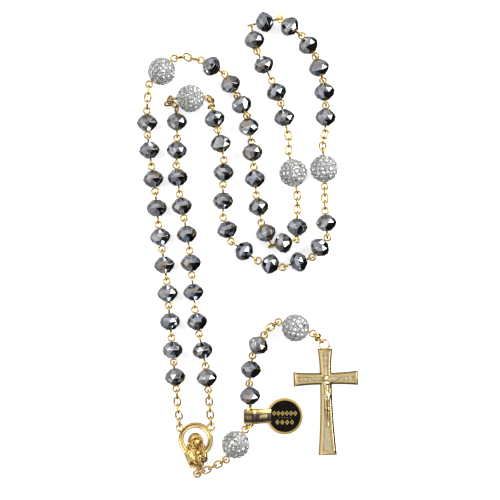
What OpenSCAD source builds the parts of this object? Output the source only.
// Rosary laid out flat: faceted crystal beads and rhinestone balls on looped wire pins,
// with curb chain, a pierced centrepiece, a hang tag and a crucifix. Lengths in millimetres.

/* [Beads] */
// Diameter of a faceted crystal bead
bead_d = 8; // [7.6:0.1:8]
// Width of a faceted bead along its wire
bead_w = 6.4; // [6:0.1:6.4]
// Number of facets around the girdle of a bead
bead_facets = 10; // [8:2:12]
// Diameter of a rhinestone ball
ball_d = 10.6; // [10:0.1:10.6]
// Diameter of the hole through a bead or a ball
hole_d = 0.6; // [0.58:0.01:0.66]

/* [Wire] */
// Diameter of the wire in loops and chain links
wire_d = 0.55; // [0.5:0.01:0.55]
// Diameter of the straight shank that carries a bead
shank_d = 0.5; // [0.46:0.01:0.5]
// Radius of a pin's end loop, to the middle of the wire
loop_r = 1.25; // [1.22:0.01:1.25]
// Radius of a chain link's round ends, to the middle of the wire
link_r = 1.2; // [1.15:0.01:1.2]
// Length of a chain link's straight sides
link_side = 1.1; // [1:0.05:1.1]

/* [Centrepiece] */
// Outer diameter of the halo ring
halo_d = 13.4; // [13:0.1:13.6]
// Width of the halo's band
halo_band = 1.9; // [1.6:0.1:2]
// Thickness of the halo
halo_t = 1.6; // [1.2:0.1:1.7]

/* [Crucifix] */
// Height of the crucifix below its ring
cross_h = 41; // [38:0.5:41]
// Span of the crucifix's arms
cross_span = 24.6; // [23:0.2:24.6]
// Thickness of the crucifix at its rim
cross_t = 1.9; // [1.5:0.1:2]
// Depth of the sunk panels
panel_depth = 0.3; // [0.2:0.05:0.4]

/* [Tag] */
// Diameter of the tag's disc
tag_d = 14.2; // [13.6:0.1:14.4]
// Width of the tag's strap
strap_w = 5.3; // [5:0.1:5.5]
// Thickness of the tag's card
card_t = 0.2; // [0.15:0.05:0.25]

/* [Hidden] */

gold = [0.80, 0.62, 0.26];
pale_gold = [0.84, 0.73, 0.45];
crystal = [0.36, 0.37, 0.39];
rhinestone = [0.86, 0.87, 0.88];
tag_black = [0.10, 0.08, 0.07];

// How far one loop's centre lies past the loop that it hooks into
gap_min = 0.68;
gap_max = 1.84;
// Shortest distance from a bead's or ball's middle to its loop's centre
bead_reach = bead_w / 2 + loop_r + wire_d / 2;
ball_reach = ball_d / 2 + loop_r + wire_d / 2;
// Height of a resting bead's centre and the lowest height of an upright loop
bead_z = bead_d / 2 + 0.1;
loop_z = 1.6;

// Places on the centrepiece and the crucifix
halo_at = [-20.7, -75.7, 0];
eye_r = 1.35;
eye_z = 1.5;
eye_wire = 0.6;
foot_lug_d = 1.4;
plate_t = 1;
eye_left = [-26.8, -70.9, eye_z];
eye_right = [-14.6, -70.5, eye_z];
eye_foot = [-20.1, -88.9, eye_z];
cross_at = [30.3, -51.8, 0];
cross_lean = 1.5;
cross_up = 11.4;
// Half widths of the cross: at the crossing, the head, the foot and the side arms' tips
cross_waist = 1.95;
cross_head = 2.55;
cross_foot = 3.3;
cross_tip = 2.5;
edge_step = 0.25;
edge_drop = 0.4;
ring_r = 1.85;
ring_wire = 0.65;
ring_at = [29.75, -38.3, 1.5];
panel_inset = 0.85;
rim_clear = panel_depth + 0.01;
tag_at = [14.2, -66.5, 0];
fold_r = 3.1;
fold_at = [1.3, -66.3, fold_r];
fold_long = 7.6;

// Bead centres of the five decades, in stringing order from the centrepiece's left eye
decade_1 = [[-28.5, -51], [-29.5, -40.5], [-30.5, -29.5], [-31.5, -18.5], [-32.5, -7.5],
  [-34.5, 3.5], [-35.5, 14.5], [-37, 26], [-38.5, 37], [-39.5, 48]];
decade_2 = [[-14, 70.5], [-7.5, 63], [-2.5, 55], [0, 46.5], [1.5, 37],
  [2.5, 26.5], [4, 16], [7, 6], [13.5, 1.5], [18.5, 7.5]];
decade_3 = [[14, 50], [11, 60], [6.5, 70], [2.5, 80.5], [6.5, 87],
  [16, 85.5], [23, 78], [27.5, 69.5], [29.5, 60], [30, 50.5]];
decade_4 = [[30, 9.5], [28, 0], [19.5, -6], [9, -6.5], [-1.5, -2],
  [-8, 6.5], [-10, 17.5], [-9.5, 28.5], [-10.5, 39.5], [-13.5, 49.5]];
decade_5 = [[-27.5, 48.5], [-28, 37.5], [-27.5, 27], [-26, 16], [-24, 5],
  [-22.5, -6], [-21.5, -17.5], [-20, -29], [-18, -40], [-16, -51]];

// Where each decade's first and last loops hook on, with their heights
ends_1 = [[-28, -57.2, 3.4], [-39.5, 52.8, 4.4]];
ends_2 = [[-19.8, 73, 4.6], [19, 12.3, 5]];
ends_3 = [[15.4, 43.6, 4.6], [30, 45.8, 2.6]];
ends_4 = [[29.8, 15.6, 5], [-14.3, 53.7, 5.2]];
ends_5 = [[-28, 54.4, 1.8], [-15.7, -55.8, 3.6]];

// Loops at the sharp turns, by the number of the bead before them
corners_2 = [[8, [8.6, 1.2]], [9, [18, 2.5]]];
corners_3 = [[4, [1.4, 84.8]], [5, [11.6, 88.2]]];
corners_4 = [[1, [30.6, 4.4]], [2, [24.8, -4.2]]];

// Where the chain before each ball ends and where the loop after the ball hooks on
ball_ends = [
  [[-38.8, 61.2, 5.4], [-28.8, 73, 5.4]],
  [[19, 20.3, 5.4], [15.9, 35.2, 5.4]],
  [[28.8, 38.3, 5.4], [29.6, 23.3, 5.4]],
  [[-15.3, 55.3, 5.4], [-29.4, 57.3, 5.9]]];

// Loops of the pendant's pins
pendant_hooks = [[-1.2, -71.2, 4.7], [0.3, -53.2, 5.6], [1.5, -43.3, 3.3], [6.1, -34.4, 5.2],
  [25, -33.8, 5.9]];

// Vectors
function unit(v) = v / norm(v);
function clip(v, low, high) = min(max(v, low), high);
function flatten(v, n) = v - n * (v * n);
function last(list) = list[len(list) - 1];
function flat(p) = [p.x, p.y, 0];
function blend(a, b, t) = a + (b - a) * t;

// A member of the string is [start, end, start loop's axis, end loop's axis]
function heading(m) = unit(m[1] - m[0]);
function loop_axis(u, lying) = lying ? unit([0, 0, 1] - u * u.z) : unit(cross([0, 0, 1], u));
// Centre of the loop that hooks round the end loop of member m and pulls towards p
function hooked(m, p, gap) = m[1] + gap * unit(flatten(unit(p - m[1]) + 0.3 * heading(m), m[3]));
function gap_to(m, p, length) = clip(norm(p - m[1]) - length, gap_min, gap_max);
function link_after(m, p) =
  let (
    b = hooked(m, p, gap_to(m, p, link_side)),
    n = unit(cross(m[3], b - m[1])),
    u = unit(flatten(p - b, n))
  )
  [b, b + link_side * u, n, n];
function pin_after(m, p, reach, lying) =
  let (b = hooked(m, p, gap_to(m, p, 2 * reach)), u = unit(p - b))
  [b, p, unit(cross(m[3], u)), loop_axis(u, lying)];
function links(m, points, i = 0) = i == len(points) ? [] :
  let (next = link_after(m, points[i])) concat([next], links(next, points, i + 1));
function pins(m, points, i = 0) = i == len(points) ? [] :
  let (
    level = abs(points[i].z - m[1].z) < 2,
    next = pin_after(m, points[i], bead_reach, level && i % 2 == 1)
  )
  concat([next], pins(next, points, i + 1));
function straight(a, b, count) = [for (k = [1 : count]) blend(a, b, k / count)];

// Points where the pins of a decade hook together. In the plan they lie a little outside
// the curve through the bead centres. Where beads are pushed together the loops go up and
// down in turn, so that each pin keeps its length.
function with_ends(c, ends) = concat([2 * flat(ends[0]) - c[0]], c, [2 * flat(ends[1]) - last(c)]);
function plan_hook(c, i) =
  1.25 * blend(c[i], c[i + 1], 0.46) - 0.25 * blend(c[i - 1], c[i + 2], 0.5);
function plan_hooks(c, corners) = [for (i = [1 : len(c) - 3])
  let (k = [for (p = corners) if (p[0] == i) flat(p[1])]) len(k) > 0 ? k[0] : plan_hook(c, i)];
function rise(a, b) = sqrt(max(0, pow(2 * bead_reach + gap_min + 0.05, 2) - pow(norm(b - a), 2)));
function decade_hooks(beads, ends, corners = []) =
  let (
    centres = [for (b = beads) flat([b.x, b.y])],
    inner = plan_hooks(with_ends(centres, ends), corners),
    route = concat([flat(ends[0])], inner, [flat(ends[1])]),
    climb = [for (i = [1 : len(route) - 1]) rise(route[i - 1], route[i])],
    count = len(route) - 1,
    low = [for (i = [0 : count]) i == 0 ? ends[0].z : i == count ? ends[1].z :
      max(loop_z, bead_z - max(climb[i - 1], climb[i]) / 2)],
    high = [for (i = [1 : count - 1]) max(2 * bead_z - min(low[i - 1], low[i + 1]),
      low[i - 1] + climb[i - 1], low[i + 1] + climb[i])]
  )
  concat([for (i = [1 : count - 1]) route[i] + [0, 0, i % 2 == 1 ? high[i - 1] : low[i]]],
    [ends[1]]);

// The loop of the string, member by member
function eye(p, away) = [p - unit(away), p, [0, 0, 1], [0, 0, 1]];
left_chain = links(eye(eye_left, [0, 1, 0]), straight(eye_left, ends_1[0], 5));
pins_1 = pins(last(left_chain), decade_hooks(decade_1, ends_1));
in_1 = links(last(pins_1), straight(ends_1[1], ball_ends[0][0], 3));
ball_pin_1_at = pin_after(last(in_1), ball_ends[0][1], ball_reach, true);
out_1 = links(ball_pin_1_at, straight(ball_ends[0][1], ends_2[0], 3));
pins_2 = pins(last(out_1), decade_hooks(decade_2, ends_2, corners_2));
in_2 = links(last(pins_2), straight(ends_2[1], ball_ends[1][0], 3));
ball_pin_2_at = pin_after(last(in_2), ball_ends[1][1], ball_reach, false);
out_2 = links(ball_pin_2_at, straight(ball_ends[1][1], ends_3[0], 3));
pins_3 = pins(last(out_2), decade_hooks(decade_3, ends_3, corners_3));
in_3 = links(last(pins_3), straight(ends_3[1], ball_ends[2][0], 3));
ball_pin_3_at = pin_after(last(in_3), ball_ends[2][1], ball_reach, true);
out_3 = links(ball_pin_3_at, straight(ball_ends[2][1], ends_4[0], 3));
pins_4 = pins(last(out_3), decade_hooks(decade_4, ends_4, corners_4));
dip_in = [[-14.3, 54.1, 2.9], [-14, 56.1, 2.5], [-14.9, 56.7, 4.8]];
in_4 = links(last(pins_4), dip_in);
ball_pin_4_at = pin_after(last(in_4), ball_ends[3][1], ball_reach, false);
dip_out = [[-30.3, 56.8, 3.4], [-29.6, 55.8, 1.7], [-28.4, 54.8, 1.7]];
out_4 = links(ball_pin_4_at, dip_out);
pins_5 = pins(last(out_4), decade_hooks(decade_5, ends_5));
right_chain = links(last(pins_5), straight(ends_5[1], eye_right + [-0.1, 1.7, 0.2], 5));

// The pendant, from the centrepiece's foot to the crucifix
curve_1 = [[-18.3, -88.1, 1.7], [-15.9, -87.1, 2.2], [-13.6, -85.9, 3], [-11.4, -84.6, 4],
  [-9.4, -83.1, 6.2]];
pendant_1 = links(eye(eye_foot, [1, 0.2, 0]), curve_1);
ball_pin_5_at = pin_after(last(pendant_1), pendant_hooks[0], ball_reach, true);
curve_2 = [[0, -70.2, 3], [0.8, -68.4, 2.8], [1, -66.6, 2.7], [1, -64.8, 2.7]];
pendant_2 = links(ball_pin_5_at, curve_2);
single_1 = pin_after(last(pendant_2), pendant_hooks[1], bead_reach, true);
single_2 = pin_after(single_1, pendant_hooks[2], bead_reach, false);
single_3 = pin_after(single_2, pendant_hooks[3], bead_reach, true);
curve_3 = [[7.5, -32.6, 4.2], [9.1, -31, 4.2], [10.9, -29.7, 5.8]];
pendant_3 = links(single_3, curve_3);
ball_pin_6_at = pin_after(last(pendant_3), pendant_hooks[4], ball_reach, true);
curve_4 = [[26.4, -35.1, 4.2], [27.3, -35.8, 2.6], [28.6, -37, 2.1]];
pendant_4 = links(ball_pin_6_at, curve_4);

// Puts children at p with their X axis along x and their Z axis along z
module at_frame(p, x, z) {
  y = cross(z, x);
  multmatrix([[x.x, y.x, z.x, p.x], [x.y, y.y, z.y, p.y], [x.z, y.z, z.z, p.z], [0, 0, 0, 1]])
    children();
}

module wire_ring(r, w = wire_d) rotate_extrude($fn = 48) translate([r, 0]) circle(d = w, $fn = 24);

module link_end() rotate([0, 0, 90]) rotate_extrude(angle = 180, $fn = 48)
  translate([link_r, 0]) circle(d = wire_d, $fn = 24);

// One oval chain link
module link(m) at_frame(m[0], heading(m), m[2]) union() {
  link_end();
  translate([link_side, 0, 0]) mirror([1, 0, 0]) link_end();
  for (side = [-1, 1]) translate([0, side * link_r, 0]) rotate([0, 90, 0])
    cylinder(h = link_side, d = wire_d, $fn = 24);
}

module chain(members) color(gold) for (m = members) link(m);

// A straight wire with a round loop at each end
module pin(m) {
  u = heading(m);
  long = norm(m[1] - m[0]) - 2 * loop_r;
  union() {
    at_frame(m[0], u, m[2]) wire_ring(loop_r);
    at_frame(m[1], u, m[3]) wire_ring(loop_r);
    at_frame(m[0], u, m[2]) translate([loop_r, 0, 0]) rotate([0, 90, 0])
      cylinder(h = long, d = shank_d, $fn = 24);
  }
}

module pins_of(members) color(gold) for (m = members) pin(m);

// Points of one ring of facet corners, a whole or half step round
function corner_ring(r, z, half) =
  [for (i = [0 : bead_facets - 1])
    let (a = 360 * (i + half) / bead_facets) [r * cos(a), r * sin(a), z]];
function band(row, n, i, half) = let (a = row * n + i, b = row * n + (i + 1) % n) half ?
  [[a, b + n, b], [a + n, b + n, a]] : [[a, a + n, b], [a + n, b + n, b]];

// The cut stone: a sharp girdle, a row of flat kites and two rows of triangles on each side
// of it, and a flat table round the hole at each end
module cut_stone() {
  n = bead_facets;
  z_table = bead_w / 2;
  z_break = z_table / 2;
  r_girdle = bead_d / 2;
  r_table = r_girdle / 2;
  r_break = (r_girdle + r_table) / 2 / cos(180 / n);
  points = concat(
    corner_ring(r_table, -z_table, 0.5), corner_ring(r_break, -z_break, 0),
    corner_ring(r_girdle, 0, 0.5),
    corner_ring(r_break, z_break, 0), corner_ring(r_table, z_table, 0.5));
  sides = [for (row = [0 : 3], i = [0 : n - 1], f = band(row, n, i, row % 2 == 0)) f];
  table_low = [for (i = [0 : n - 1]) i];
  table_high = [for (i = [n - 1 : -1 : 0]) 4 * n + i];
  polyhedron(points = points, faces = concat([table_low, table_high], sides));
}

module bead(m, turn) {
  u = heading(m);
  at_frame(blend(m[0], m[1], 0.5), loop_axis(u, true), u) rotate([0, 0, turn]) difference() {
    cut_stone();
    cylinder(h = bead_d, d = hole_d, center = true, $fn = 32);
  }
}

module beads_of(members) color(crystal)
  for (i = [0 : len(members) - 1]) bead(members[i], 13 * i);

module ball(m) color(rhinestone)
  at_frame(blend(m[0], m[1], 0.5), loop_axis(heading(m), true), heading(m)) difference() {
    sphere(d = ball_d, $fn = 64);
    cylinder(h = 2 * ball_d, d = hole_d, center = true, $fn = 32);
  }

function slice(list, from, to) = [for (i = [from : to]) list[i]];

// Centrepiece: halo ring, veiled mother with child in low relief, three eyes
module halo() {
  r = halo_d / 2;
  edge = 0.4;
  rotate_extrude($fn = 96) polygon([[r - halo_band, 0], [r, 0], [r, halo_t - edge],
    [r - edge, halo_t], [r - halo_band + edge, halo_t], [r - halo_band, halo_t - edge]]);
}

module figure_plate() linear_extrude(height = plate_t) {
  translate([0, -0.7]) circle(r = 3.5, $fn = 64);
  polygon([[-3.5, -0.7], [-4.3, -4.5], [-4.4, -8], [-2.2, -11.8], [1.8, -12], [4.2, -8.5],
    [4.5, -5], [3.5, -0.7]]);
}

module knob(p, r) translate(p) sphere(r = r, $fn = 24);

module relief() intersection() {
  union() {
    hull() { knob([0.1, -0.6, 0.6], 2.6); knob([0, -4, 0.4], 3.2); }
    hull() { knob([-2.6, -6.2, 0.4], 1.8); knob([-0.6, -10.4, 0.4], 1.4); }
    hull() { knob([1.6, -7.4, 0.8], 1.8); knob([0.8, -10, 0.5], 1.5); }
    knob([0.5, -1, 1.6], 1.5);
    knob([0.8, -6.2, 2], 1.2);
  }
  translate([-10, -15, 0]) cube([20, 20, 4]);
}

module centrepiece() color(gold) union() {
  translate(halo_at) {
    halo();
    figure_plate();
    relief();
  }
  for (p = [eye_left, eye_right, eye_foot]) translate(p) wire_ring(eye_r, eye_wire);
  translate([eye_foot.x, eye_foot.y + eye_r, 0]) cylinder(h = eye_z, d = foot_lug_d, $fn = 32);
}

// Half width of a crucifix arm: narrow at the crossing and curving out to the end
function flare(narrow, wide, t) = narrow + (wide - narrow) * t * t;
function arm_edge(length, narrow, wide, steps = 4) =
  [for (i = [0 : steps]) [flare(narrow, wide, i / steps), narrow + (length - narrow) * i / steps]];
function mirrored(edge) = [for (i = [len(edge) - 1 : -1 : 0]) [-edge[i].x, edge[i].y]];
module arm(length, narrow, wide) polygon(concat(arm_edge(length, narrow, wide),
  mirrored(arm_edge(length, narrow, wide)), [[0, 0]]));

module cross_outline(inset) {
  narrow = cross_waist - inset;
  down = cross_h - cross_up;
  arm(cross_up - inset, narrow, cross_head - inset);
  rotate([0, 0, 180]) arm(down - inset, narrow, cross_foot - inset);
  for (side = [-90, 90]) rotate([0, 0, side])
    arm(cross_span / 2 - inset, narrow, cross_tip - inset);
  square(2 * narrow, center = true);
}

module crucifix() color(pale_gold) union() {
  translate(cross_at) rotate([0, 0, cross_lean]) difference() {
    union() {
      linear_extrude(height = cross_t - edge_drop) cross_outline(0);
      linear_extrude(height = cross_t) cross_outline(edge_step);
    }
    translate([0, 0, cross_t - panel_depth]) linear_extrude(height = 1) cross_outline(panel_inset);
  }
  translate(ring_at) wire_ring(ring_r, ring_wire);
}

// The figure on the cross, lying in the sunk panel
module corpus() color(pale_gold) translate(cross_at) rotate([0, 0, cross_lean])
  translate([0, 0, cross_t - panel_depth]) intersection() {
    union() {
      knob([0, 0.2, 0.7], 0.95);
      hull() { knob([0, -1.6, 0.4], 1.1); knob([0.1, -5.2, 0.4], 0.85); }
      hull() { knob([0.1, -5.6, 0.4], 1.15); knob([0.2, -7.6, 0.4], 1); }
      hull() { knob([0.3, -8, 0.4], 0.95); knob([0.6, -12.6, 0.5], 0.6); }
      hull() { knob([0.6, -12.6, 0.5], 0.6); knob([0.3, -18.4, 0.3], 0.45); }
      for (side = [-1, 1])
        hull() { knob([side * 0.8, -1.4, 0.4], 0.65); knob([side * 6.4, 0.5, 0.3], 0.4); }
    }
    difference() {
      translate([-8, -20, 0]) cube([16, 24, 3]);
      linear_extrude(height = 2 * rim_clear, center = true) difference() {
        cross_outline(0);
        cross_outline(panel_inset + 0.03);
      }
    }
  }

// Outline of the strap's side: round over the chain and flat where it meets the disc
module fold_outline(r) {
  lean = 20;
  circle(r = r, $fn = 64);
  polygon([[0, -r], [r * sin(lean), r * cos(lean)], [fold_long, 0.75 - fold_r],
    [fold_long, -r]]);
}

// Tag: a card strap folded round the chain, and a disc of layered card
module tag() color(tag_black) union() {
  translate(tag_at) cylinder(h = 4 * card_t, d = tag_d, $fn = 96);
  translate(fold_at) rotate([90, 0, 0]) linear_extrude(height = strap_w, center = true)
    difference() {
      fold_outline(fold_r);
      fold_outline(fold_r - card_t);
    }
}

// The string's nodes
module medal_chain_left() chain(left_chain);
module medal_chain_right() chain(right_chain);
module decade_1_beads_a() beads_of(slice(pins_1, 0, 4));
module decade_1_beads_b() beads_of(slice(pins_1, 5, 9));
module decade_1_pins_a() pins_of(slice(pins_1, 0, 4));
module decade_1_pins_b() pins_of(slice(pins_1, 5, 9));
module decade_2_beads_a() beads_of(slice(pins_2, 0, 2));
module decade_2_beads_b() beads_of(slice(pins_2, 3, 6));
module decade_2_beads_c() beads_of(slice(pins_2, 7, 9));
module decade_2_pins_a() pins_of(slice(pins_2, 0, 2));
module decade_2_pins_b() pins_of(slice(pins_2, 3, 6));
module decade_2_pins_c() pins_of(slice(pins_2, 7, 9));
module decade_3_beads_a() beads_of(slice(pins_3, 0, 4));
module decade_3_beads_b() beads_of(slice(pins_3, 5, 9));
module decade_3_pins_a() pins_of(slice(pins_3, 0, 4));
module decade_3_pins_b() pins_of(slice(pins_3, 5, 9));
module decade_4_beads_a() beads_of(slice(pins_4, 0, 2));
module decade_4_beads_b() beads_of(slice(pins_4, 3, 6));
module decade_4_beads_c() beads_of(slice(pins_4, 7, 9));
module decade_4_pins_a() pins_of(slice(pins_4, 0, 2));
module decade_4_pins_b() pins_of(slice(pins_4, 3, 6));
module decade_4_pins_c() pins_of(slice(pins_4, 7, 9));
module decade_5_beads_a() beads_of(slice(pins_5, 0, 4));
module decade_5_beads_b() beads_of(slice(pins_5, 5, 9));
module decade_5_pins_a() pins_of(slice(pins_5, 0, 4));
module decade_5_pins_b() pins_of(slice(pins_5, 5, 9));
module chain_in_1() chain(in_1);
module ball_1() ball(ball_pin_1_at);
module ball_pin_1() pins_of([ball_pin_1_at]);
module chain_out_1() chain(out_1);
module chain_in_2() chain(in_2);
module ball_2() ball(ball_pin_2_at);
module ball_pin_2() pins_of([ball_pin_2_at]);
module chain_out_2() chain(out_2);
module chain_in_3() chain(in_3);
module ball_3() ball(ball_pin_3_at);
module ball_pin_3() pins_of([ball_pin_3_at]);
module chain_out_3() chain(out_3);
module chain_in_4() chain(in_4);
module ball_4() ball(ball_pin_4_at);
module ball_pin_4() pins_of([ball_pin_4_at]);
module chain_out_4() chain(out_4);
module pendant_chain_1() chain(pendant_1);
module ball_5() ball(ball_pin_5_at);
module ball_pin_5() pins_of([ball_pin_5_at]);
module pendant_chain_2() chain(pendant_2);
module single_bead_1() beads_of([single_1]);
module single_bead_2() beads_of([single_2]);
module single_bead_3() beads_of([single_3]);
module single_pin_1() pins_of([single_1]);
module single_pin_2() pins_of([single_2]);
module single_pin_3() pins_of([single_3]);
module pendant_chain_3() chain(pendant_3);
module ball_6() ball(ball_pin_6_at);
module ball_pin_6() pins_of([ball_pin_6_at]);
module pendant_chain_4() chain(pendant_4);

centrepiece();
medal_chain_left();
medal_chain_right();
decade_1_beads_a();
decade_1_beads_b();
decade_1_pins_a();
decade_1_pins_b();
decade_2_beads_a();
decade_2_beads_b();
decade_2_beads_c();
decade_2_pins_a();
decade_2_pins_b();
decade_2_pins_c();
decade_3_beads_a();
decade_3_beads_b();
decade_3_pins_a();
decade_3_pins_b();
decade_4_beads_a();
decade_4_beads_b();
decade_4_beads_c();
decade_4_pins_a();
decade_4_pins_b();
decade_4_pins_c();
decade_5_beads_a();
decade_5_beads_b();
decade_5_pins_a();
decade_5_pins_b();
chain_in_1();
ball_1();
ball_pin_1();
chain_out_1();
chain_in_2();
ball_2();
ball_pin_2();
chain_out_2();
chain_in_3();
ball_3();
ball_pin_3();
chain_out_3();
chain_in_4();
ball_4();
ball_pin_4();
chain_out_4();
pendant_chain_1();
ball_5();
ball_pin_5();
pendant_chain_2();
tag();
single_bead_1();
single_bead_2();
single_bead_3();
single_pin_1();
single_pin_2();
single_pin_3();
pendant_chain_3();
ball_6();
ball_pin_6();
pendant_chain_4();
crucifix();
corpus();
